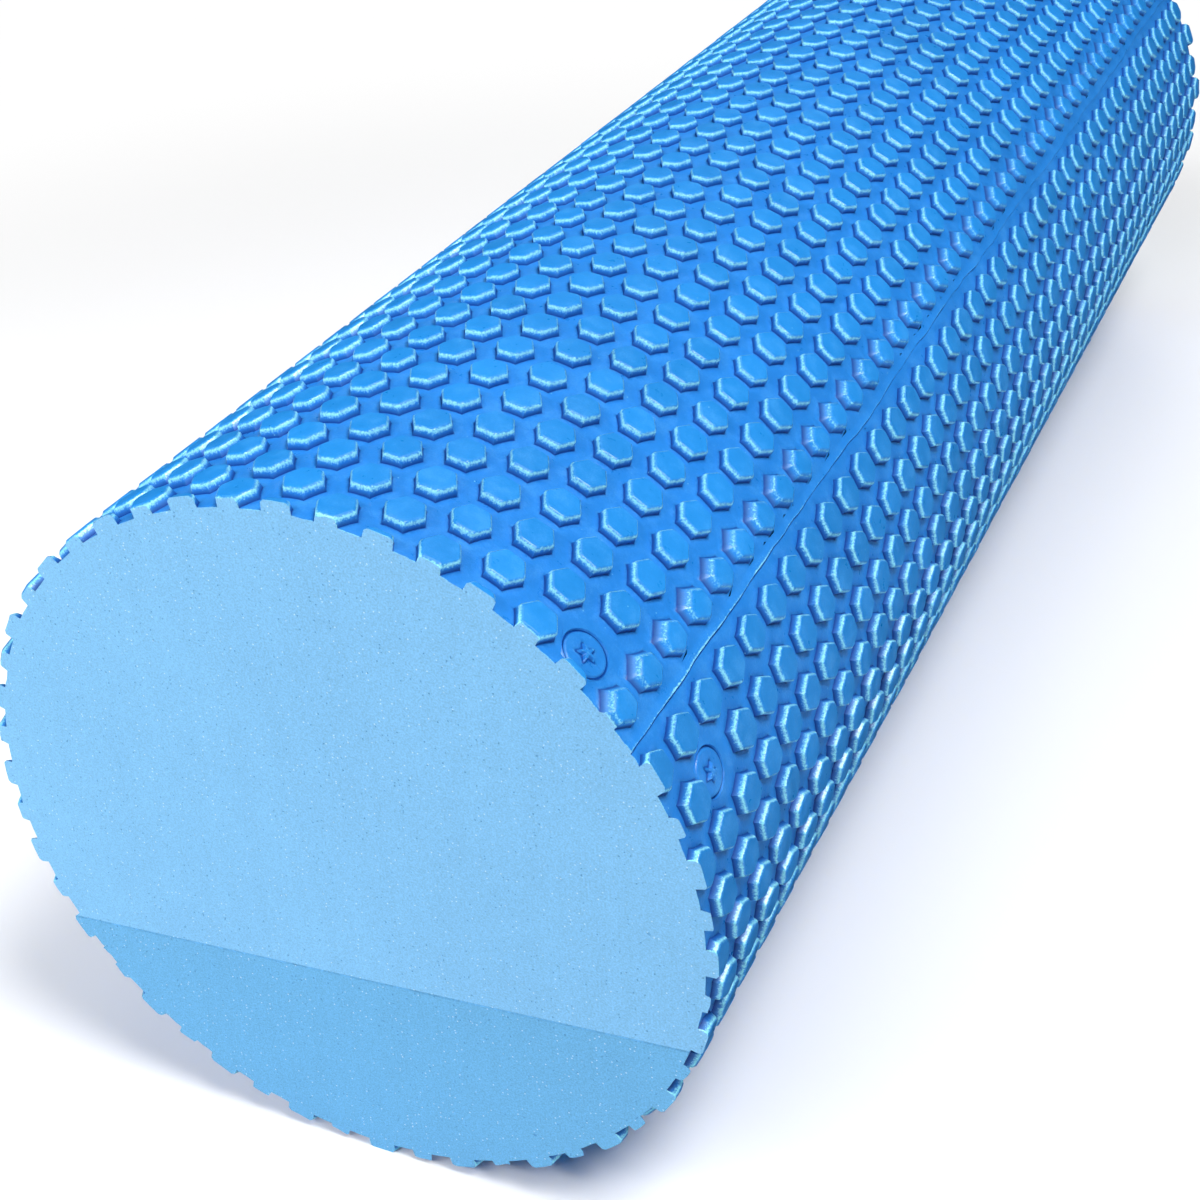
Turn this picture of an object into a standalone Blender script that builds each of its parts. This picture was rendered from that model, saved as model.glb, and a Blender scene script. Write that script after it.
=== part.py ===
"""Foam roller, lying on its side on a floor.

Two slabs of EVA foam are glued face to face, then hot moulded between two mould halves
into a cylinder whose whole surface is rows of studs, and sawn to length at both ends.
The blocks here are the roller's full-size envelope: one flat facet for each row of stud
tops. The roller stands on the facet of one row.

Frame: Y along the roller, from the near end at -Y to the far end at +Y. Z is up, and the
origin is on the floor below the middle of the roller. Angles are in degrees, clockwise
from the top, seen from the near end.
"""
import math

import bmesh
import bpy
from mathutils import Vector

# Size of the roller.
LENGTH = 0.450
STUD_TIP_RADIUS = 0.0725

# Rows of studs. The rows of each mould half leave a wider band at the two parting lines.
ROWS_PER_HALF = 24
ROW_STEP = 7.4
PARTING_BAND = 180.0 - (ROWS_PER_HALF - 1) * ROW_STEP
ROWS_FROM_PARTING_TO_FLOOR = 16
PARTING_ANGLE = 180.0 - PARTING_BAND / 2 - ROWS_FROM_PARTING_TO_FLOOR * ROW_STEP

# Glued joint between the slabs: a flat plane below the axis, tilted up towards +X.
BOND_DEPTH = 0.0274
BOND_TILT = 4.1
GLUE_THICKNESS = 0.0004
TOUCH_GAP = 0.0003

# Colours are linear RGB.
UPPER_BLUE = (0.023, 0.212, 0.624)
LOWER_BLUE = (0.020, 0.190, 0.580)
GLUE_BLUE = (0.060, 0.190, 0.380)
SKIN_ROUGHNESS = 0.42
GLUE_ROUGHNESS = 0.60


def foam_material(name, colour, roughness):
    """Principled material of one plain colour."""
    material = bpy.data.materials.new(name)
    material.use_nodes = True
    shader = material.node_tree.nodes["Principled BSDF"]
    shader.inputs["Base Color"].default_value = (*colour, 1.0)
    shader.inputs["Roughness"].default_value = roughness
    shader.inputs["Metallic"].default_value = 0.0
    return material


def corner_angles():
    """Angles of the envelope's corners, halfway between neighbouring rows."""
    first_corner = (PARTING_BAND - ROW_STEP) / 2
    return [
        PARTING_ANGLE + half_turn + first_corner + corner * ROW_STEP
        for half_turn in (0.0, 180.0)
        for corner in range(ROWS_PER_HALF + 1)
    ]


def add_envelope(mesh):
    """Prism round the Y axis, with a facet on the stud tops of each row."""
    corner_radius = STUD_TIP_RADIUS / math.cos(math.radians(ROW_STEP / 2))
    near_ring = []
    for angle in corner_angles():
        turn = math.radians(angle)
        corner = (corner_radius * math.sin(turn), -LENGTH / 2, corner_radius * math.cos(turn))
        near_ring.append(mesh.verts.new(corner))
    near_face = mesh.faces.new(near_ring)
    extruded = bmesh.ops.extrude_face_region(mesh, geom=[near_face], use_keep_orig=True)
    far_ring = [item for item in extruded["geom"] if isinstance(item, bmesh.types.BMVert)]
    bmesh.ops.translate(mesh, vec=(0.0, LENGTH, 0.0), verts=far_ring)


def cut_flat(mesh, height, keep_above):
    """Saw the solid along the bond plane, moved up by height, and close the cut."""
    tilt = math.radians(BOND_TILT)
    upwards = Vector((-math.sin(tilt), 0.0, math.cos(tilt)))
    cut = bmesh.ops.bisect_plane(
        mesh,
        geom=mesh.verts[:] + mesh.edges[:] + mesh.faces[:],
        plane_co=upwards * (height - BOND_DEPTH),
        plane_no=upwards,
        clear_inner=keep_above,
        clear_outer=not keep_above,
    )
    rim = [item for item in cut["geom_cut"] if isinstance(item, bmesh.types.BMEdge)]
    bmesh.ops.edgeloop_fill(mesh, edges=rim)


def add_slice(name, material, axle, above=None, below=None):
    """Add the part of the envelope between two heights measured from the bond plane."""
    mesh = bmesh.new()
    add_envelope(mesh)
    if above is not None:
        cut_flat(mesh, above, keep_above=True)
    if below is not None:
        cut_flat(mesh, below, keep_above=False)
    bmesh.ops.recalc_face_normals(mesh, faces=mesh.faces[:])

    data = bpy.data.meshes.new(name)
    mesh.to_mesh(data)
    mesh.free()
    data.materials.append(material)

    piece = bpy.data.objects.new(name, data)
    piece.parent = axle
    bpy.context.collection.objects.link(piece)
    return piece


def build():
    for leftover in list(bpy.data.objects):
        bpy.data.objects.remove(leftover, do_unlink=True)

    axle = bpy.data.objects.new("roller_axis", None)
    axle.location = (0.0, 0.0, STUD_TIP_RADIUS)
    bpy.context.collection.objects.link(axle)

    half_glue = GLUE_THICKNESS / 2
    upper_foam = foam_material("upper_foam", UPPER_BLUE, SKIN_ROUGHNESS)
    lower_foam = foam_material("lower_foam", LOWER_BLUE, SKIN_ROUGHNESS)
    glue = foam_material("glue", GLUE_BLUE, GLUE_ROUGHNESS)
    add_slice("upper_foam_block", upper_foam, axle, above=half_glue + TOUCH_GAP)
    add_slice("glue_layer", glue, axle, above=-half_glue, below=half_glue)
    add_slice("lower_foam_block", lower_foam, axle, below=-half_glue - TOUCH_GAP)


build()
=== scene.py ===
"""Foam roller: the visible foam, its studded moulded skin, its sawn ends and the glue line.

The skin is made as one tube of hexagonal cells, with a stud in each cell, and is then sawn
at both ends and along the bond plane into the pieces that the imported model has.
Angles are in degrees, clockwise from the top, seen from the near end (-Y).
"""
import math
import random

import bmesh
import bpy
from mathutils import Euler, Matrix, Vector, noise
from mathutils.geometry import delaunay_2d_cdt


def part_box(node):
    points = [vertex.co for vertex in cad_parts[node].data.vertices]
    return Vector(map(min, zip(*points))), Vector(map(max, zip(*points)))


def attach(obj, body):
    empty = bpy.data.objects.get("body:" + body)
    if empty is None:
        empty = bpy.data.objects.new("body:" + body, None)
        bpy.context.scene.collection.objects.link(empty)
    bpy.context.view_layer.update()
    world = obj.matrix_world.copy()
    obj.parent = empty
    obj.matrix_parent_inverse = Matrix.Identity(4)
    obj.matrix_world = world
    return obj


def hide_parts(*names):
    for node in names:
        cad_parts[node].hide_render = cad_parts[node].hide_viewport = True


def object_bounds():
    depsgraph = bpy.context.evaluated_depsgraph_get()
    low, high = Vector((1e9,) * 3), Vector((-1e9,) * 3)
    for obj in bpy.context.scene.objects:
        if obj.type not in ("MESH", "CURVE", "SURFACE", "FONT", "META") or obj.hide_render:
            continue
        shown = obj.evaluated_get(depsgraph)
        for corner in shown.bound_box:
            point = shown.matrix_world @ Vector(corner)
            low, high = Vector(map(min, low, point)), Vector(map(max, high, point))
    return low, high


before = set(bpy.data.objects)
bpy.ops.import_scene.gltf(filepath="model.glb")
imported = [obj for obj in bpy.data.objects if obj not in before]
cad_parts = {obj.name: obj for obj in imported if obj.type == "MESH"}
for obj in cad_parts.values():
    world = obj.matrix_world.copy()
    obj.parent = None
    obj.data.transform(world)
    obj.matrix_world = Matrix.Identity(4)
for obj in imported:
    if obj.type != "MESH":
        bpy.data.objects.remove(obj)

MM = 0.001

# ---------------------------------------------------------------- places from the frame
CAD_LOW, CAD_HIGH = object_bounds()
NEAR_END, FAR_END = CAD_LOW.y, CAD_HIGH.y
LENGTH = FAR_END - NEAR_END
TIP_RADIUS = (CAD_HIGH.z - CAD_LOW.z) / 2
AXIS = Vector((0.0, 0.0, CAD_LOW.z + TIP_RADIUS))
GLUE_LOW, GLUE_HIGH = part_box("glue_layer")
BOND_POINT = (Vector(GLUE_LOW) + Vector(GLUE_HIGH)) / 2
BOND_POINT.y = 0.0
BOND_NORMAL = (AXIS - BOND_POINT).normalized()

# ---------------------------------------------------------------- rows of studs
ROWS_PER_HALF = 24
ROW_STEP = 7.4
PARTING_BAND = 180.0 - (ROWS_PER_HALF - 1) * ROW_STEP
ROWS_FROM_PARTING_TO_FLOOR = 16
PARTING_ANGLE = 180.0 - PARTING_BAND / 2 - ROWS_FROM_PARTING_TO_FLOOR * ROW_STEP
STUD_PITCH = 10.511 * MM
FIRST_STUD = (1.8 * MM, 3.4 * MM)
COLUMNS = math.ceil((LENGTH + 3 * STUD_PITCH) / (STUD_PITCH / 2))
EDGE_CELL_REACH = 4.93 * MM
VALLEY_WAVE_HEIGHT, VALLEY_WAVE_SIZE = 0.05 * MM, 14 * MM

STUD_HEIGHT = 2.1 * MM
STUD_EDGE_DROP = 0.52 * MM
STUD_BASE_WIDTH, STUD_BASE_HOLLOW = 7.55 * MM, 0.16 * MM
STUD_SHOULDER_WIDTH, STUD_SHOULDER_CORNER = 6.90 * MM, 0.75 * MM
STUD_TOP_WIDTH, STUD_TOP_CORNER = 5.75 * MM, 0.9 * MM
STUD_SQUEEZE = 0.925
SHOULDER_WEAR_AND_HIGHLIGHT, TOP_WEAR = 0.95, 0.16
VALLEY_RADIUS = TIP_RADIUS - STUD_HEIGHT

# How the studs of a half differ from each other: spreads are standard deviations.
TURN_SPREAD = 1.4
SIZE_SPREAD = 0.012
SHIFT_SPREAD = 0.07 * MM
LIFT_MEAN, LIFT_SPREAD = -0.02 * MM, 0.03 * MM
TILT_SPREAD = 0.008
# The halves' mean tones differ as painted shade: half 0, round the right side and the bottom, gets
# the lower tone; the spread round each is a real random tone.
HALF_TONES_AND_SIDE_SHADE, TONE_SPREAD = (0.30, 0.70), 0.13

# Studs beside a parting line. The dragged ones lean more the nearer they are to an end.
DRAG_REACH = 95 * MM
DRAGGED_LEAN, DRAGGED_MORE_LEAN = 0.35 * MM, 0.35 * MM
DRAGGED_BACK, DRAGGED_MORE_BACK = 0.15 * MM, 0.30 * MM
OTHER_LEAN = 0.45 * MM
DRAGGED_TILT = -0.08
DRAGGED_WEAR = 0.76
DRAWN_NARROW, DRAWN_SHORT = 0.30, 0.22
DRAWN_TAPER, DRAWN_FOOT = 0.22, 0.06
STUD_UNEVEN, DRAGGED_UNEVEN, UNEVEN_SIZE = 0.035 * MM, 0.10 * MM, 2.2 * MM

# Parting line: offsets from its middle, and the height of the flash there.
FLASH_PROFILE = (
    (-1.70 * MM, 0.02 * MM),
    (-1.10 * MM, 0.26 * MM),
    (-0.30 * MM, 0.30 * MM),
    (-0.10 * MM, 0.52 * MM),
    (0.08 * MM, 0.48 * MM),
    (0.30 * MM, -0.34 * MM),
    (0.95 * MM, 0.00 * MM),
)
# Its wander from side to side: how far, over what length, and where the noise is read.
FLASH_WAVES = ((0.75 * MM, 34 * MM, 0.0), (0.46 * MM, 7 * MM, 3.0))
FLASH_AT_FAR_END, FLASH_FADE, FLASH_PATCH_SIZE = 0.42, 2.2, 9 * MM
FLASH_WEAR_AND_HIGHLIGHT_HEIGHT, FLASH_SHADOW_DEPTH = 0.5 * MM, 0.16 * MM

GLUE_THICKNESS = 0.36 * MM
HAIRLINE = 0.02 * MM


def arc_degrees(length, radius=TIP_RADIUS):
    return math.degrees(length / radius)


def on_roller(angle, radius, y):
    """Point of the roller's own cylinder coordinates, in the row frame."""
    turn = math.radians(angle)
    return Vector((radius * math.sin(turn), y, AXIS.z + radius * math.cos(turn)))


def ripple(angle, y, size):
    """Smooth noise from -1 to 1 over the skin, with bumps about that size."""
    return noise.noise(on_roller(angle, TIP_RADIUS, y) / size)


# ---------------------------------------------------------------- the tube of cells
class Tube:
    """Vertices, faces and vertex values of the skin before it is sawn."""

    def __init__(self):
        self.points, self.faces = [], []
        self.values = {"wear_and_highlight": [], "tone": [], "relief": [], "crease": []}

    def point(self, place, wear_and_highlight=0.0, tone=0.5, relief=0.0, crease=0.0):
        self.points.append(place)
        for label, value in zip(self.values, (wear_and_highlight, tone, relief, crease)):
            self.values[label].append(value)
        return len(self.points) - 1

    def face(self, *corners):
        self.faces.append(corners)

    def mesh(self, name):
        data = bpy.data.meshes.new(name)
        data.from_pydata(self.points, [], self.faces)
        for label, values in self.values.items():
            data.attributes.new(label, "FLOAT", "POINT").data.foreach_set("value", values)
        return data


def row_angle(half, row):
    return PARTING_ANGLE + 180.0 * half + PARTING_BAND / 2 + ROW_STEP * row


def column_y(half, column):
    return NEAR_END + FIRST_STUD[half] - STUD_PITCH + column * STUD_PITCH / 2


def is_stud_column(half, row, column):
    return (column + row + half) % 2 == 0


def valley_point(tube, angle, y):
    radius = VALLEY_RADIUS + VALLEY_WAVE_HEIGHT * ripple(angle, y, VALLEY_WAVE_SIZE)
    return tube.point(on_roller(angle, radius, y))


def cell_border(tube, half, line):
    """Zigzag of cell corners before row number line, one for each half pitch.

    The outermost two borders of a half face a parting line, and have a point between
    each two corners, so that the band beside the line can be finer.
    """
    border = []
    at_edge = line in (0, ROWS_PER_HALF)
    low, high = ROW_STEP / 3, ROW_STEP * 2 / 3
    if at_edge:
        high = arc_degrees(EDGE_CELL_REACH)
    for step in range(2 * COLUMNS + 1):
        if step % 2 and not at_edge:
            border.append(None)
            continue
        heights = []
        for column in {step // 2, (step + 1) // 2}:
            if line == 0:
                from_row = -high if is_stud_column(half, 0, column) else -low
                heights.append(row_angle(half, 0) + from_row)
            else:
                from_row = high if is_stud_column(half, line - 1, column) else low
                heights.append(row_angle(half, line - 1) + from_row)
        y = column_y(half, step / 2)
        border.append(valley_point(tube, sum(heights) / len(heights), y))
    return border


def rounded_hexagon(width, corner_radius, per_corner=3):
    """Outline points (s, y) of a hexagon with corners along the round direction s."""
    reach = (width / 2 - corner_radius) / math.cos(math.radians(30))
    outline = []
    for corner in range(6):
        towards = math.radians(60 * corner)
        for step in range(per_corner):
            bend = towards + math.radians(-30 + 60 * step / (per_corner - 1))
            outline.append((
                reach * math.cos(towards) + corner_radius * math.cos(bend),
                reach * math.sin(towards) + corner_radius * math.sin(bend),
            ))
    return outline


def hollow_hexagon(width, hollow, near_corner=0.28):
    """Outline points (s, y) of a hexagon with pointed corners and sides drawn in a little."""
    reach = width / math.sqrt(3)
    directions = [math.radians(60 * k) for k in range(6)]
    corners = [reach * Vector((math.cos(turn), math.sin(turn))) for turn in directions]
    outline = []
    for k in range(6):
        for neighbour, side in ((k - 1, 60 * k - 30), (k, None), ((k + 1) % 6, 60 * k + 30)):
            place = corners[k].lerp(corners[neighbour], near_corner)
            if side is not None:
                inwards = math.radians(side)
                place -= hollow * Vector((math.cos(inwards), math.sin(inwards)))
            outline.append(tuple(place))
    return outline


def circle(radius, per_corner):
    """Outline points (s, y) of a circle, grouped by corner as the hexagon's are."""
    step = 60 / per_corner
    angles = [math.radians(-30 + step / 2 + step * k) for k in range(6 * per_corner)]
    return [(radius * math.cos(a), radius * math.sin(a)) for a in angles]


def star(tip_radius, waist_radius, tips, per_corner):
    """Outline points (s, y) of a star with rounded tips."""
    outline = []
    for s, y in circle(1.0, per_corner):
        turn = math.atan2(y, s)
        share = (0.5 + 0.5 * math.cos(tips * turn)) ** 2
        radius = waist_radius + (tip_radius - waist_radius) * share
        outline.append((radius * math.cos(turn), radius * math.sin(turn)))
    return outline


def fill_cell(tube, corners, between, rings):
    """Faces from a cell's six corners in to its first ring, then ring to ring, then a lid."""
    per_corner = len(rings[0]) // 6
    outer = rings[0]
    for corner in range(6):
        after = (corner + 1) % 6
        own = outer[corner * per_corner:(corner + 1) * per_corner]
        tube.face(corners[corner], *reversed(own))
        tube.face(
            corners[corner], *between[corner], corners[after],
            outer[after * per_corner], own[-1],
        )
    for outer, inner in zip(rings, rings[1:]):
        for k in range(len(outer)):
            after = (k + 1) % len(outer)
            tube.face(outer[k], outer[after], inner[after], inner[k])
    tube.face(*rings[-1])


def beside_parting(row):
    """+1 or -1 for the way round to the parting line next to this row, or 0."""
    return {0: -1, ROWS_PER_HALF - 1: 1}.get(row, 0)


def drawn_out(s, t, share):
    """Outline point of a dragged stud: wide sloping shoulders, and a small top."""
    towards_near_end = max(0.0, -2 * t / STUD_BASE_WIDTH)
    s *= 1 - DRAWN_NARROW * share ** 2 - DRAWN_TAPER * towards_near_end ** 2
    t *= 1 - DRAWN_SHORT * share ** 2 + DRAWN_FOOT * towards_near_end * (1 - share)
    return s, t


def stud_rings(tube, half, row, column, rng):
    """One stud: base, shoulder and top outlines, each a little off true.

    The row on one side of each parting line was dragged towards the line as the foam
    left the mould: those studs are narrower, lean over and have rougher tops.
    """
    angle, y = row_angle(half, row), column_y(half, column)
    from_end = min(y - NEAR_END, FAR_END - y)
    side = beside_parting(row)
    near = max(0.0, 1.0 - from_end / DRAG_REACH)
    dragged = side > 0
    lean, back = OTHER_LEAN * side, 0.0
    if dragged:
        lean = DRAGGED_LEAN + DRAGGED_MORE_LEAN * near
        back = DRAGGED_BACK + DRAGGED_MORE_BACK * near
    turn = math.radians(rng.gauss(0, TURN_SPREAD))
    grow = 1 + rng.gauss(0, SIZE_SPREAD)
    shift = (rng.gauss(0, SHIFT_SPREAD), rng.gauss(0, SHIFT_SPREAD))
    lift = rng.gauss(LIFT_MEAN, LIFT_SPREAD)
    tilt = (rng.gauss(DRAGGED_TILT * dragged * near, TILT_SPREAD), rng.gauss(0, TILT_SPREAD))
    tone = min(1.0, max(0.0, rng.gauss(HALF_TONES_AND_SIDE_SHADE[half], TONE_SPREAD)))
    uneven = STUD_UNEVEN + DRAGGED_UNEVEN * dragged * near

    middle = math.radians(angle)
    outwards = Vector((math.sin(middle), 0.0, math.cos(middle)))
    around = Vector((math.cos(middle), 0.0, -math.sin(middle)))
    along = Vector((0.0, 1.0, 0.0))
    centre = Vector((0.0, y, AXIS.z))

    # Crease 1 on the foot ring paints shade there; the shoulder ring's value paints the edge pale,
    # partly as rubbing and partly as a painted highlight.
    levels = (
        (hollow_hexagon(STUD_BASE_WIDTH, STUD_BASE_HOLLOW), 0.0, 0.0, 1.0),
        (rounded_hexagon(STUD_SHOULDER_WIDTH, STUD_SHOULDER_CORNER),
         STUD_HEIGHT - STUD_EDGE_DROP, SHOULDER_WEAR_AND_HIGHLIGHT, 0.0),
        (rounded_hexagon(STUD_TOP_WIDTH, STUD_TOP_CORNER), STUD_HEIGHT, TOP_WEAR, 0.0),
    )
    rings = []
    for outline, height, wear_and_highlight, crease in levels:
        ring = []
        share = height / STUD_HEIGHT
        if dragged:
            wear_and_highlight *= DRAGGED_WEAR
        for s, t in outline:
            s *= STUD_SQUEEZE * grow
            t *= grow
            s, t = s * math.cos(turn) - t * math.sin(turn), s * math.sin(turn) + t * math.cos(turn)
            if dragged:
                s, t = drawn_out(s, t, share)
            s += (shift[0] + lean) * share
            t += (shift[1] + back) * share
            if height == 0.0:
                place = on_roller(angle + arc_degrees(s), VALLEY_RADIUS, y + t)
            else:
                rise = height + lift + tilt[0] * s + tilt[1] * t
                rise += uneven * noise.noise(Vector((s, t, 3 * y)) / UNEVEN_SIZE)
                place = centre + outwards * (VALLEY_RADIUS + rise) + around * s + along * t
            ring.append(tube.point(place, wear_and_highlight, tone, share, crease))
        rings.append(ring)
    return rings


# Rows and columns of the cells with a vent mark, near the near end on each side of a half.
VENT_CELLS = ((1, 5), (ROWS_PER_HALF - 2, 3))
VENT_SHIFT = 2.0 * MM
VENT_CORNER_SHIFT = 0.9 * MM


def vent_rings(tube, half, row, column):
    """Round mould vent mark: a fine groove round a flat disc with a small raised star."""
    angle, y = row_angle(half, row), column_y(half, column) - VENT_SHIFT
    per_corner = 8
    tips = 4 + (half + row) % 2
    # The crease values of 1.1 and 1.3 paint shade round the star's foot and in the groove; the other
    # values paint the rims and the star's top pale, partly as rubbing and partly as a painted
    # highlight.
    levels = (
        (circle(4.70 * MM, per_corner), 0.12 * MM, 0.25, 0.3),
        (circle(4.48 * MM, per_corner), -0.42 * MM, 0.0, 1.3),
        (circle(4.32 * MM, per_corner), -0.42 * MM, 0.0, 1.3),
        (circle(4.08 * MM, per_corner), 0.02 * MM, 0.4, 0.4),
        (circle(3.70 * MM, per_corner), 0.06 * MM, 0.1, 0.0),
        (star(1.95 * MM, 0.95 * MM, tips, per_corner), 0.00 * MM, 0.1, 1.1),
        (star(1.45 * MM, 0.55 * MM, tips, per_corner), 0.70 * MM, 0.50, 0.0),
    )
    rings = []
    for outline, rise, wear_and_highlight, crease in levels:
        ring = []
        for s, t in outline:
            place = on_roller(angle + arc_degrees(s), VALLEY_RADIUS + rise, y + t)
            ring.append(tube.point(place, wear_and_highlight, 0.5, 0.0, crease))
        rings.append(ring)
    return rings


def add_row(tube, half, row, before, after, rng):
    """All the cells of one row, between its two borders."""
    for column in range(1, COLUMNS):
        if not is_stud_column(half, row, column):
            continue
        step = 2 * column
        corners = (
            after[step], after[step + 2], before[step + 2],
            before[step], before[step - 2], after[step - 2],
        )
        between = [[] for _ in range(6)]
        for edge, middle in (
            (0, after[step + 1]), (5, after[step - 1]), (2, before[step + 1]), (3, before[step - 1]),
        ):
            if middle is not None:
                between[edge] = [middle]
        if (row, column) in VENT_CELLS:
            for corner in (4, 5):
                tube.points[corners[corner]].y -= VENT_CORNER_SHIFT
            rings = vent_rings(tube, half, row, column)
        else:
            rings = stud_rings(tube, half, row, column, rng)
        fill_cell(tube, corners, between, rings)


def add_parting_band(tube, border_before, border_after, half_after):
    """Flat band along a parting line, with a thin wavy flash down its middle."""
    line_angle = PARTING_ANGLE + 180.0 * half_after
    columns = []
    for first, last in zip(border_before, border_after):
        y = (tube.points[first].y + tube.points[last].y) / 2
        from_near = (y - NEAR_END) / LENGTH
        fade = max(0.0, 1 - from_near * FLASH_FADE)
        strength = FLASH_AT_FAR_END + (1 - FLASH_AT_FAR_END) * fade
        strength *= 0.8 + 0.5 * noise.noise(Vector((0.0, y / FLASH_PATCH_SIZE, line_angle)))
        wander = sum(
            reach * noise.noise(Vector((y / size, seed, line_angle)))
            for reach, size, seed in FLASH_WAVES
        )
        column = [first]
        for offset, rise in FLASH_PROFILE:
            angle = line_angle + arc_degrees(offset + wander)
            radius = VALLEY_RADIUS + rise * strength
            # The raised flash is painted pale, partly as rubbing and partly as a painted highlight;
            # the dip beside it is painted as a shadow line.
            wear_and_highlight = 1.1 * max(0.0, rise * strength) / FLASH_WEAR_AND_HIGHLIGHT_HEIGHT
            crease = max(0.0, -rise * strength) / FLASH_SHADOW_DEPTH
            place = on_roller(angle, radius, y)
            column.append(tube.point(place, wear_and_highlight, 0.5 + wear_and_highlight, crease=crease))
        column.append(last)
        columns.append(column)
    for near, far in zip(columns, columns[1:]):
        for k in range(len(near) - 1):
            tube.face(near[k], near[k + 1], far[k + 1], far[k])


def studded_tube():
    tube = Tube()
    rng = random.Random(14)
    borders = [
        [cell_border(tube, half, line) for line in range(ROWS_PER_HALF + 1)]
        for half in (0, 1)
    ]
    for half in (0, 1):
        for row in range(ROWS_PER_HALF):
            add_row(tube, half, row, borders[half][row], borders[half][row + 1], rng)
        add_parting_band(tube, borders[1 - half][-1], borders[half][0], half)
    return tube.mesh("studded_tube")


# ---------------------------------------------------------------- sawing the tube to pieces
CUT_SLOT = 1
PALE_RIM = 0.30 * MM
SHARP_ANGLE = 60
SAW_TOLERANCE, ON_PLANE, AT_END = 1e-7, 2e-6, 1e-6
BOND_MARGIN = 0.6 * MM
LONGEST_RIM_EDGE = 1.2 * MM
# The fraying of a rim: how far, and over what length.
FRAY_WAVES = ((0.14 * MM, 1.3 * MM), (0.16 * MM, 5 * MM))
RIM_PATCH_SIZE = 1.6 * MM


def saw(mesh, point, normal):
    """Remove what lies beyond a plane, and leave the cut open."""
    bmesh.ops.bisect_plane(
        mesh,
        geom=mesh.verts[:] + mesh.edges[:] + mesh.faces[:],
        plane_co=point,
        plane_no=normal,
        dist=SAW_TOLERANCE,
        clear_outer=True,
    )


def boundary_on(mesh, point, normal):
    """Open edges that lie in a plane."""
    return [
        edge for edge in mesh.edges
        if edge.is_boundary
        and all(abs((vert.co - point).dot(normal)) < ON_PLANE for vert in edge.verts)
    ]


def close_cut(mesh, edges, point, normal, extra=()):
    """Fill a closed outline in a plane with triangles, through extra points inside it."""
    mesh.verts.index_update()
    side = Vector((0.0, 1.0, 0.0)) if abs(normal.y) < 0.5 else Vector((1.0, 0.0, 0.0))
    side = (side - normal * side.dot(normal)).normalized()
    other = normal.cross(side)
    verts = sorted({vert for edge in edges for vert in edge.verts}, key=lambda vert: vert.index)
    number = {vert: k for k, vert in enumerate(verts)}
    flat = [Vector(((v.co - point).dot(side), (v.co - point).dot(other))) for v in verts]
    flat += [Vector(((p - point).dot(side), (p - point).dot(other))) for p in extra]
    pairs = [(number[edge.verts[0]], number[edge.verts[1]]) for edge in edges]
    places, _, faces, origins, _, _ = delaunay_2d_cdt(flat, pairs, [], 1, SAW_TOLERANCE)

    found = {}
    used = {corner for face in faces for corner in face}
    for k in used:
        source = [origin for origin in origins[k] if origin < len(verts)]
        if source:
            found[k] = verts[source[0]]
        else:
            place = point + side * places[k].x + other * places[k].y
            found[k] = mesh.verts.new(place)
    for face in faces:
        corners = [found[k] for k in face]
        if len(set(corners)) < 3:
            continue
        try:
            made = mesh.faces.new(corners)
        except ValueError:
            continue
        made.material_index = CUT_SLOT


def fray_rims(mesh):
    """Move the sawn outlines in and out a little, and pale them, for the look of cut foam."""
    wear_and_highlight = mesh.verts.layers.float["wear_and_highlight"]
    for vert in mesh.verts:
        end = min(abs(vert.co.y - NEAR_END), abs(vert.co.y - FAR_END))
        if end < AT_END:
            vert[wear_and_highlight] = max(vert[wear_and_highlight], 0.85 + 0.5 * noise.noise(vert.co / RIM_PATCH_SIZE))
        away = vert.co - AXIS
        from_bond = abs((vert.co - BOND_POINT).dot(BOND_NORMAL))
        if end > AT_END or from_bond < BOND_MARGIN:
            continue
        away.y = 0.0
        jitter = sum(reach * noise.noise(vert.co / size) for reach, size in FRAY_WAVES)
        vert.co += away.normalized() * jitter


def lines_across(mesh, corners, spacing=3 * MM):
    """Edges across an open end where a cut meets it, wherever there is foam between."""
    made = []
    ordered = sorted(corners, key=lambda vert: vert.co.x)
    for start, stop in zip(ordered[::2], ordered[1::2]):
        steps = max(1, round((stop.co - start.co).length / spacing))
        line = [start]
        for k in range(1, steps):
            line.append(mesh.verts.new(start.co.lerp(stop.co, k / steps)))
        line.append(stop)
        made += [mesh.edges.new(pair) for pair in zip(line, line[1:])]
    return made


def end_grid(inside, spacing=3.2 * MM, seed=5):
    """Slightly scattered points over a sawn end, kept clear of its outline."""
    rng = random.Random(seed)
    points = []
    steps = int(TIP_RADIUS / spacing)
    for i in range(-steps, steps + 1):
        for k in range(-steps, steps + 1):
            x = (i + 0.5 * (k % 2) + rng.uniform(-0.2, 0.2)) * spacing
            z = (k + rng.uniform(-0.2, 0.2)) * spacing * 0.87
            place = Vector((x, 0.0, AXIS.z + z))
            if math.hypot(x, z) < VALLEY_RADIUS - 1.2 * MM and inside(place):
                points.append(place)
    return points


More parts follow.
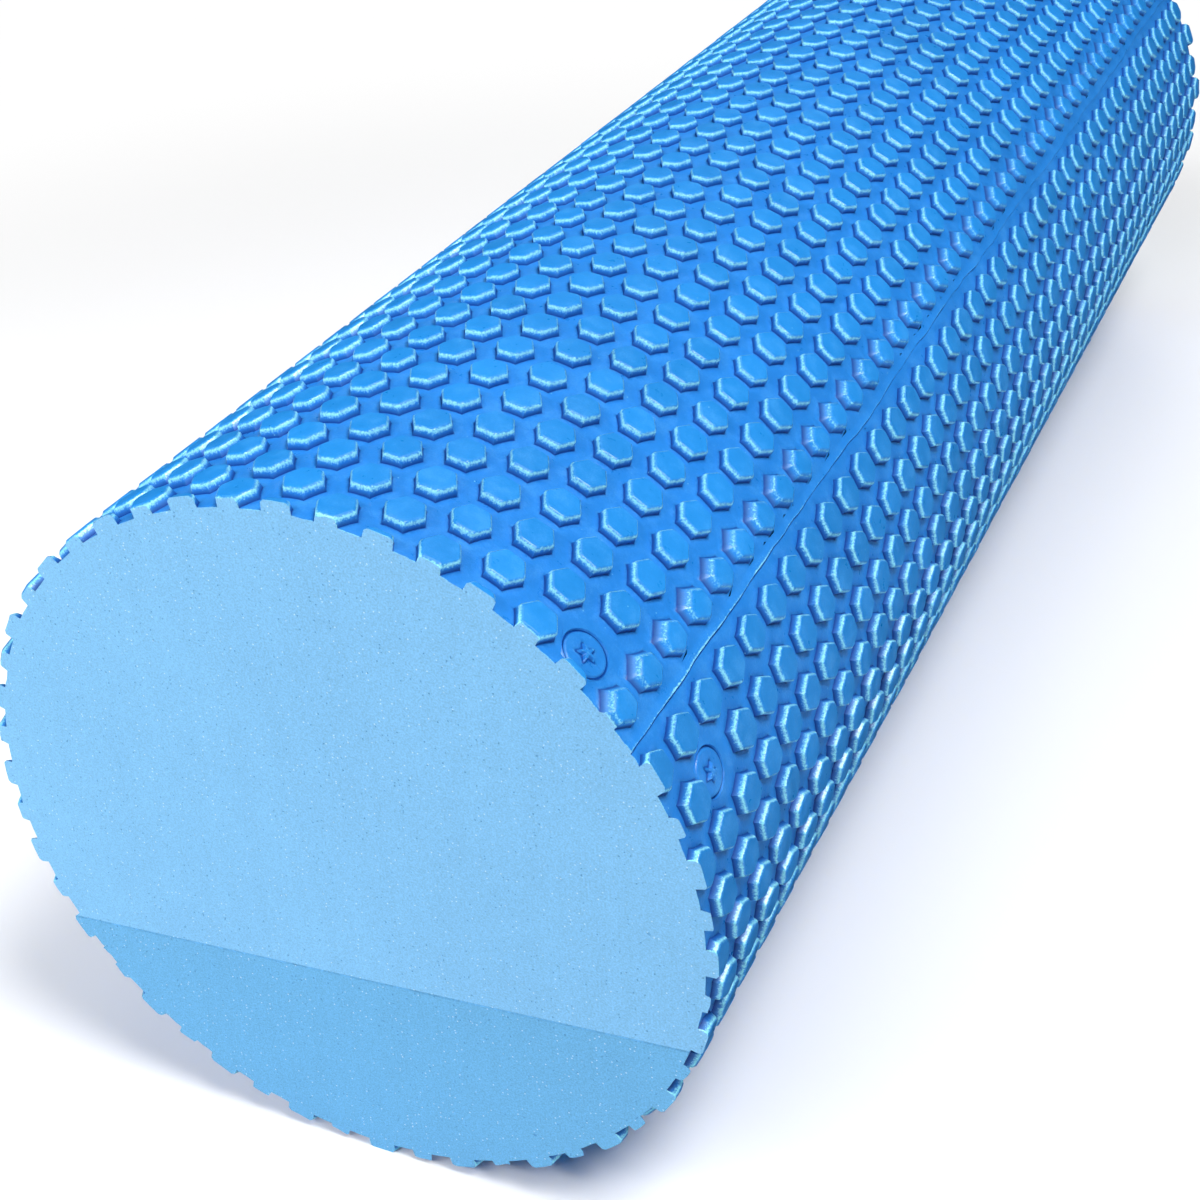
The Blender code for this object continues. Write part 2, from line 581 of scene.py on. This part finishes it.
def slice_of_roller(name, tube, above=None, below=None, grid=True):
    """Closed mesh of the roller between two heights from the bond plane."""
    mesh = bmesh.new()
    mesh.from_mesh(tube)
    ends = ((NEAR_END, Vector((0, -1, 0))), (FAR_END, Vector((0, 1, 0))))
    for y, normal in ends:
        saw(mesh, Vector((0, y, 0)), normal)
    cuts = []
    if above is not None:
        cuts.append((BOND_POINT + BOND_NORMAL * above, -BOND_NORMAL))
    if below is not None:
        cuts.append((BOND_POINT + BOND_NORMAL * below, BOND_NORMAL))
    for point, normal in cuts:
        saw(mesh, point, normal)

    for y, normal in ends:
        bmesh.ops.bisect_plane(
            mesh,
            geom=mesh.verts[:] + mesh.edges[:] + mesh.faces[:],
            plane_co=Vector((0, y, 0)) - normal * PALE_RIM,
            plane_no=normal,
            dist=SAW_TOLERANCE,
        )
    margin = 1.5 * MM

    def inside(place):
        height = (place - BOND_POINT).dot(BOND_NORMAL)
        over = above is None or height > above + margin
        under = below is None or height < below - margin
        return over and under

    rim = [e for y, normal in ends for e in boundary_on(mesh, Vector((0, y, 0)), normal)]
    bmesh.ops.subdivide_edges(
        mesh, edges=[e for e in rim if e.calc_length() > LONGEST_RIM_EDGE], cuts=1,
    )
    fray_rims(mesh)
    points = end_grid(inside) if grid else []
    outlines = {y: boundary_on(mesh, Vector((0, y, 0)), normal) for y, normal in ends}
    bonds = [boundary_on(mesh, point, normal) for point, normal in cuts]
    for bond in bonds:
        corners = {vert for edge in bond for vert in edge.verts}
        for y, _ in ends:
            made = lines_across(mesh, [v for v in corners if abs(v.co.y - y) < ON_PLANE])
            outlines[y] += made
            bond += made
    for y, normal in ends:
        extra = [Vector((p.x, y, p.z)) for p in points]
        close_cut(mesh, outlines[y], Vector((0, y, 0)), normal, extra)
    for bond, (point, normal) in zip(bonds, cuts):
        close_cut(mesh, bond, point, normal)
    bmesh.ops.recalc_face_normals(mesh, faces=mesh.faces[:])
    data = bpy.data.meshes.new(name)
    mesh.to_mesh(data)
    mesh.free()
    return data


def add_piece(name, data, node, materials):
    data.shade_smooth()
    data.set_sharp_from_angle(angle=math.radians(SHARP_ANGLE))
    for material in materials:
        data.materials.append(material)
    piece = bpy.data.objects.new(name, data)
    bpy.context.collection.objects.link(piece)
    normals = piece.modifiers.new("flat_faces_stay_flat", "WEIGHTED_NORMAL")
    normals.keep_sharp = True
    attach(piece, "root")
    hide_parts(node)
    return piece


# ---------------------------------------------------------------- materials
# Distances from the middle of the floor, in millimetres, between which it turns white.
GLOW_START, GLOW_FULL = 280, 580

TOP_BLUE = (0.018, 0.252, 0.705)
VALLEY_BLUE = (0.020, 0.228, 0.700)
WEAR_AND_HIGHLIGHT_BLUE = (0.350, 0.900, 1.000)
PAINTED_SHADE_BLUE = (0.002, 0.060, 0.290)
CREASE_SHADE_BLUE = (0.002, 0.050, 0.290)
DUST_BLUE = (0.090, 0.400, 0.860)
CUT_BLUE = (0.202, 0.480, 0.775)
LOWER_CUT_BLUE = (0.134, 0.400, 0.690)
GLUE_BLUE = (0.100, 0.365, 0.680)
PIT_SHADE_BLUE = (0.035, 0.180, 0.460)
SPARKLE_WHITE = (0.720, 0.900, 1.000)
FLOOR_WHITE = (0.950, 0.950, 0.955)
BACKDROP_WHITE = (1.000, 1.000, 1.000)


class Shading:
    """A node material in the making; each method returns the socket it adds."""

    def __init__(self, name):
        self.material = bpy.data.materials.new(name)
        self.material.use_nodes = True
        self.tree = self.material.node_tree
        self.shader = self.tree.nodes["Principled BSDF"]
        coordinates = self.tree.nodes.new("ShaderNodeTexCoord").outputs["Object"]
        self.place = self.moved(coordinates, scale=(1 / MM, 1 / MM, 1 / MM))

    def put(self, socket, value):
        if isinstance(value, bpy.types.NodeSocket):
            self.tree.links.new(value, socket)
        elif isinstance(value, tuple) and len(socket.default_value) == 4:
            socket.default_value = (*value, 1.0)
        else:
            socket.default_value = value

    def moved(self, place, scale=(1.0, 1.0, 1.0), turn=(0.0, 0.0, 0.0), shift=(0.0, 0.0, 0.0)):
        node = self.tree.nodes.new("ShaderNodeMapping")
        self.put(node.inputs["Vector"], place)
        self.put(node.inputs["Scale"], scale)
        self.put(node.inputs["Rotation"], tuple(math.radians(a) for a in turn))
        self.put(node.inputs["Location"], shift)
        return node.outputs["Vector"]

    def onto_cylinder(self):
        """The place moved in or out to the stud tops, so that patterns run down the walls."""
        parts = self.tree.nodes.new("ShaderNodeSeparateXYZ")
        self.put(parts.inputs[0], self.place)
        across, up = parts.outputs["X"], self.math("SUBTRACT", parts.outputs["Z"], AXIS.z / MM)
        radius = self.math(
            "SQRT",
            self.math("ADD", self.math("MULTIPLY", across, across), self.math("MULTIPLY", up, up)),
        )
        joined = self.tree.nodes.new("ShaderNodeCombineXYZ")
        for socket, value in ((0, across), (2, up)):
            share = self.math("DIVIDE", value, radius)
            self.put(joined.inputs[socket], self.math("MULTIPLY", share, TIP_RADIUS / MM))
        self.put(joined.inputs[1], parts.outputs["Y"])
        return joined.outputs[0]

    def noise(self, size, detail=2.0, place=None):
        """Noise around 0, about -0.5 to 0.5, with features that many millimetres wide."""
        node = self.tree.nodes.new("ShaderNodeTexNoise")
        self.put(node.inputs["Vector"], place or self.place)
        self.put(node.inputs["Scale"], 1.0 / size)
        self.put(node.inputs["Detail"], detail)
        return self.math("SUBTRACT", node.outputs["Fac"], 0.5)

    def dots(self, spacing, radius, share, place=None):
        """Scattered round dots: 1 inside, 0 outside; share of the cells that have one."""
        node = self.tree.nodes.new("ShaderNodeTexVoronoi")
        self.put(node.inputs["Vector"], place or self.place)
        self.put(node.inputs["Scale"], 1.0 / spacing)
        split = self.tree.nodes.new("ShaderNodeSeparateColor")
        self.put(split.inputs["Color"], node.outputs["Color"])
        reach = radius / spacing
        inside = self.ramp(node.outputs["Distance"], reach, reach * 0.5)
        chosen = self.ramp(split.outputs["Red"], 1 - share - 0.02, 1 - share + 0.02)
        return self.math("MULTIPLY", inside, chosen)

    def attribute(self, label):
        node = self.tree.nodes.new("ShaderNodeAttribute")
        node.attribute_name = label
        return node.outputs["Fac"]

    def math(self, operation, first, second=0.0, clamp=False):
        node = self.tree.nodes.new("ShaderNodeMath")
        node.operation = operation
        node.use_clamp = clamp
        self.put(node.inputs[0], first)
        self.put(node.inputs[1], second)
        return node.outputs[0]

    def total(self, start, *parts):
        """start + the sum of amount * socket over the parts."""
        for amount, socket in parts:
            start = self.math("ADD", start, self.math("MULTIPLY", socket, amount))
        return start

    def ramp(self, value, low, high, to_low=0.0, to_high=1.0):
        node = self.tree.nodes.new("ShaderNodeMapRange")
        node.interpolation_type = "SMOOTHSTEP"
        self.put(node.inputs["Value"], value)
        self.put(node.inputs["From Min"], low)
        self.put(node.inputs["From Max"], high)
        self.put(node.inputs["To Min"], to_low)
        self.put(node.inputs["To Max"], to_high)
        return node.outputs["Result"]

    def mix(self, share, first, second, blend="MIX"):
        node = self.tree.nodes.new("ShaderNodeMix")
        node.data_type = "RGBA"
        node.blend_type = blend
        sockets = [s for s in node.inputs if s.enabled]
        self.put(sockets[0], share)
        self.put(sockets[1], first)
        self.put(sockets[2], second)
        return [s for s in node.outputs if s.enabled][0]

    def scaled(self, colour, level):
        """A colour made lighter or darker by a level around 1."""
        node = self.tree.nodes.new("ShaderNodeVectorMath")
        node.operation = "SCALE"
        self.put(node.inputs[0], colour)
        self.put(node.inputs["Scale"], level)
        return node.outputs["Vector"]

    def bump(self, height, depth):
        """Relief in the shading only, for height 1 that many millimetres high."""
        node = self.tree.nodes.new("ShaderNodeBump")
        self.put(node.inputs["Height"], height)
        self.put(node.inputs["Distance"], depth * MM)
        self.put(self.shader.inputs["Normal"], node.outputs["Normal"])

    def finish(self, colour, roughness, specular):
        self.put(self.shader.inputs["Base Color"], colour)
        self.put(self.shader.inputs["Roughness"], roughness)
        self.put(self.shader.inputs["Specular IOR Level"], specular)
        return self.material


def skin_material():
    """Satin moulded skin: blotchy blue, with pale stud edges that are partly rubbed and partly a
    painted highlight, and painted shade in the creases and on the lower stud walls.
    """
    shade = Shading("moulded_skin")
    wear_and_highlight, tone = shade.attribute("wear_and_highlight"), shade.attribute("tone")
    relief, crease = shade.attribute("relief"), shade.attribute("crease")
    blotch, cloud = shade.noise(26, 3), shade.noise(4.0, 3)
    grain, fine = shade.noise(0.9, 3), shade.noise(0.32, 2)
    off_top = shade.ramp(relief, 1.0, 0.85)
    streak = shade.math("MULTIPLY", shade.noise(0.42, 2, place=shade.onto_cylinder()), off_top)

    level = shade.total(0.84, (0.26, tone), (0.24, blotch), (0.18, cloud), (0.14, grain))
    colour = shade.scaled(shade.mix(relief, VALLEY_BLUE, TOP_BLUE), level)
    in_valley = shade.ramp(relief, 0.02, 0.0)
    haze = shade.ramp(shade.total(0.0, (1.0, cloud), (0.8, fine)), -0.05, 0.30, 0.0, 0.24)
    colour = shade.mix(haze, colour, DUST_BLUE)
    on_wall = shade.math("SUBTRACT", 1.0, in_valley)
    # Painted shade: the valley floor beside each stud's foot and the lower part of each stud wall
    # are mixed towards a deep blue.
    valley_shade = shade.math("MULTIPLY", in_valley, shade.ramp(crease, 0.50, 1.0, 0.0, 0.35))
    wall_shade = shade.math("MULTIPLY", on_wall, shade.ramp(relief, 0.0, 0.62, 0.90, 0.0))
    colour = shade.mix(shade.math("ADD", valley_shade, wall_shade), colour, PAINTED_SHADE_BLUE)
    # Painted highlight and rubbing: stud shoulders, streaks and flash are mixed towards a pale
    # near-white cyan, the same on every side of a stud.
    worn_and_highlight = shade.ramp(shade.total(wear_and_highlight, (0.45, streak), (0.9, fine)), 0.50, 1.0)
    colour = shade.mix(shade.math("MULTIPLY", worn_and_highlight, 0.85), colour, WEAR_AND_HIGHLIGHT_BLUE)
    # Painted shade: a near-black line where the crease value is high, at stud feet, in vent grooves
    # and in the dip beside the flash.
    crease_shade = shade.ramp(shade.total(crease, (0.16, grain)), 0.86, 1.0, 0.0, 0.78)
    colour = shade.mix(crease_shade, colour, CREASE_SHADE_BLUE)
    halo = shade.math(
        "MULTIPLY", shade.ramp(crease, 0.62, 0.76), shade.ramp(crease, 0.92, 0.82),
    )
    dusty = shade.math("MULTIPLY", shade.math("MULTIPLY", halo, in_valley),
                       shade.ramp(grain, -0.10, 0.16, 0.0, 0.22))
    colour = shade.mix(dusty, colour, DUST_BLUE)
    specks = shade.dots(1.7, 0.16, 0.10)
    colour = shade.mix(shade.math("MULTIPLY", specks, 0.5), colour, WEAR_AND_HIGHLIGHT_BLUE)

    roughness = shade.total(
        0.34, (0.25, cloud), (0.20, grain), (0.40, wall_shade), (-0.14, worn_and_highlight),
    )
    relief_map = shade.total(0.0, (0.5, cloud), (0.28, streak), (0.13, grain), (0.15, fine))
    shade.bump(relief_map, 0.14)
    return shade.finish(colour, roughness, 0.50)


def cut_material(name, blue):
    """Matte sawn foam: open cells, pits, pale sparkles and faint saw marks."""
    shade = Shading(name)
    broad, cloud = shade.noise(34, 2), shade.noise(7, 3)
    grain, fine = shade.noise(0.85, 3), shade.noise(0.36, 2)
    saw_marks = shade.noise(
        2.2, 2, place=shade.moved(shade.place, scale=(1.0, 0.05, 0.06), turn=(0, 38, 0)),
    )
    level = shade.total(
        1.0, (0.08, broad), (0.06, cloud), (0.20, grain), (0.75, fine), (0.08, saw_marks),
    )
    colour = shade.scaled(blue, level)
    # Pits are mixed towards a deep blue, as painted shade inside the holes.
    pits = shade.math("ADD", shade.dots(1.0, 0.20, 0.30), shade.dots(9.0, 0.42, 0.30), clamp=True)
    colour = shade.mix(shade.math("MULTIPLY", pits, 0.55), colour, PIT_SHADE_BLUE)
    shifted = shade.moved(shade.place, shift=(3.3, 1.7, 8.1))
    sparkles = shade.dots(0.95, 0.20, 0.36, place=shifted)
    colour = shade.mix(shade.math("MULTIPLY", sparkles, 0.50), colour, SPARKLE_WHITE)
    height = shade.total(0.0, (0.5, grain), (0.6, fine), (-0.8, pits), (0.2, saw_marks))
    shade.bump(height, 0.10)
    return shade.finish(colour, 0.82, 0.25)


def glue_material():
    """Film of glue, darker than the foam and broken up along its length."""
    shade = Shading("glue_film")
    patches, grain = shade.noise(2.4, 3), shade.noise(0.6, 2)
    level = shade.total(1.0, (0.9, patches), (0.7, grain))
    shade.bump(grain, 0.05)
    return shade.finish(shade.scaled(GLUE_BLUE, level), 0.6, 0.4)


def floor_material():
    """Pale matte floor, hardly uneven, which away from the roller is an evenly lit white."""
    shade = Shading("pale_floor")
    length = shade.tree.nodes.new("ShaderNodeVectorMath")
    length.operation = "LENGTH"
    shade.put(length.inputs[0], shade.place)
    glow = shade.ramp(length.outputs["Value"], GLOW_START, GLOW_FULL)
    shade.put(shade.shader.inputs["Emission Color"], BACKDROP_WHITE)
    shade.put(shade.shader.inputs["Emission Strength"], glow)
    shade.material.cycles.emission_sampling = "NONE"
    unlit = shade.math("SUBTRACT", 1.0, glow)
    level = shade.math("MULTIPLY", unlit, shade.total(1.0, (0.01, shade.noise(90, 2))))
    return shade.finish(shade.scaled(FLOOR_WHITE, level), 0.75, 0.2)


def backdrop_material():
    """Plain white that shines a little, so that it needs no lamp of its own."""
    shade = Shading("white_backdrop")
    shade.put(shade.shader.inputs["Emission Color"], BACKDROP_WHITE)
    shade.put(shade.shader.inputs["Emission Strength"], 1.0)
    shade.material.cycles.emission_sampling = "NONE"
    return shade.finish((0.0, 0.0, 0.0), 1.0, 0.0)


# ---------------------------------------------------------------- the object
def build_roller():
    tube = studded_tube()
    half_glue = GLUE_THICKNESS / 2
    skin, glue = skin_material(), glue_material()
    upper_cut = cut_material("cut_foam_upper", CUT_BLUE)
    lower_cut = cut_material("cut_foam_lower", LOWER_CUT_BLUE)
    upper = add_piece(
        "upper_foam", slice_of_roller("upper_foam", tube, above=half_glue + HAIRLINE),
        "upper_foam_block", (skin, upper_cut),
    )
    lower = add_piece(
        "lower_foam", slice_of_roller("lower_foam", tube, below=-half_glue - HAIRLINE),
        "lower_foam_block", (skin, lower_cut),
    )
    add_piece(
        "glue_film",
        slice_of_roller("glue_film", tube, above=-half_glue, below=half_glue, grid=False),
        "glue_layer", (glue, glue),
    )


# ---------------------------------------------------------------- stage, light and camera
FLOOR_REACH = 6.0
BACKDROP_RADIUS = 5.0
SKY_AT_HORIZON, SKY_OVERHEAD = 0.02, 0.62

# Name, place, width, height, watts, and whether it shows in reflections.
SOFTBOXES = (
    ("key", (0.56, -0.34, 1.18), 0.48, 0.48, 14.6, True),
    ("front", (-0.40, -1.80, 1.83), 2.00, 0.30, 26.0, True),
    ("overhead", (0.10, 0.30, 1.40), 0.80, 0.80, 2.6, True),
    ("left_fill", (-0.54, -0.50, 0.22), 0.30, 0.30, 2.3, False),
    ("back_fill", (-0.30, 1.10, 0.50), 0.60, 0.60, 3.0, False),
)

CAMERA_LENS = 58.06
CAMERA_PLACE = (0.1634, -0.4434, 0.2880)
CAMERA_TURN = (58.29, 3.37, 24.18)


def add_floor():
    reach = FLOOR_REACH
    data = bpy.data.meshes.new("floor")
    corners = [(-reach, -reach, 0), (reach, -reach, 0), (reach, reach, 0), (-reach, reach, 0)]
    data.from_pydata(corners, [], [(0, 1, 2, 3)])
    data.materials.append(floor_material())
    floor = bpy.data.objects.new("floor", data)
    floor.location.z = CAD_LOW.z
    floor.visible_glossy = False
    bpy.context.collection.objects.link(floor)


def add_backdrop():
    """Dome round the stage. It only shows behind the floor, and lights nothing."""
    shape = bmesh.new()
    bmesh.ops.create_uvsphere(shape, u_segments=48, v_segments=24, radius=BACKDROP_RADIUS)
    data = bpy.data.meshes.new("backdrop")
    shape.to_mesh(data)
    shape.free()
    data.materials.append(backdrop_material())
    dome = bpy.data.objects.new("backdrop", data)
    dome.visible_diffuse = False
    dome.visible_glossy = False
    dome.visible_shadow = False
    bpy.context.collection.objects.link(dome)


def add_softbox(name, place, width, height, power, in_reflections):
    """Rectangular area light, aimed at the middle of the roller."""
    data = bpy.data.lights.new(name, "AREA")
    data.shape = "RECTANGLE"
    data.size, data.size_y = width, height
    data.energy = power
    light = bpy.data.objects.new(name, data)
    light.location = place
    light.rotation_euler = (AXIS - Vector(place)).to_track_quat("-Z", "Y").to_euler()
    light.visible_glossy = in_reflections
    bpy.context.collection.objects.link(light)


def add_light():
    """Dim sky that is brightest overhead, and the softboxes."""
    world = bpy.data.worlds.new("studio")
    world.use_nodes = True
    background = world.node_tree.nodes["Background"]
    nodes, links = world.node_tree.nodes, world.node_tree.links
    direction = nodes.new("ShaderNodeTexCoord").outputs["Generated"]
    parts = nodes.new("ShaderNodeSeparateXYZ")
    sky = nodes.new("ShaderNodeMapRange")
    links.new(direction, parts.inputs[0])
    links.new(parts.outputs["Z"], sky.inputs["Value"])
    sky.inputs["To Min"].default_value = SKY_AT_HORIZON
    sky.inputs["To Max"].default_value = SKY_OVERHEAD
    links.new(sky.outputs["Result"], background.inputs["Strength"])
    bpy.context.scene.world = world
    for softbox in SOFTBOXES:
        add_softbox(*softbox)
    bpy.context.scene.view_settings.view_transform = "Standard"


def add_camera():
    data = bpy.data.cameras.new("camera")
    data.lens = CAMERA_LENS
    camera = bpy.data.objects.new("camera", data)
    camera.location = CAMERA_PLACE
    camera.rotation_euler = Euler([math.radians(angle) for angle in CAMERA_TURN])
    data.clip_start = 0.01
    bpy.context.collection.objects.link(camera)
    bpy.context.scene.camera = camera


build_roller()
add_floor()
add_backdrop()
add_light()
add_camera()
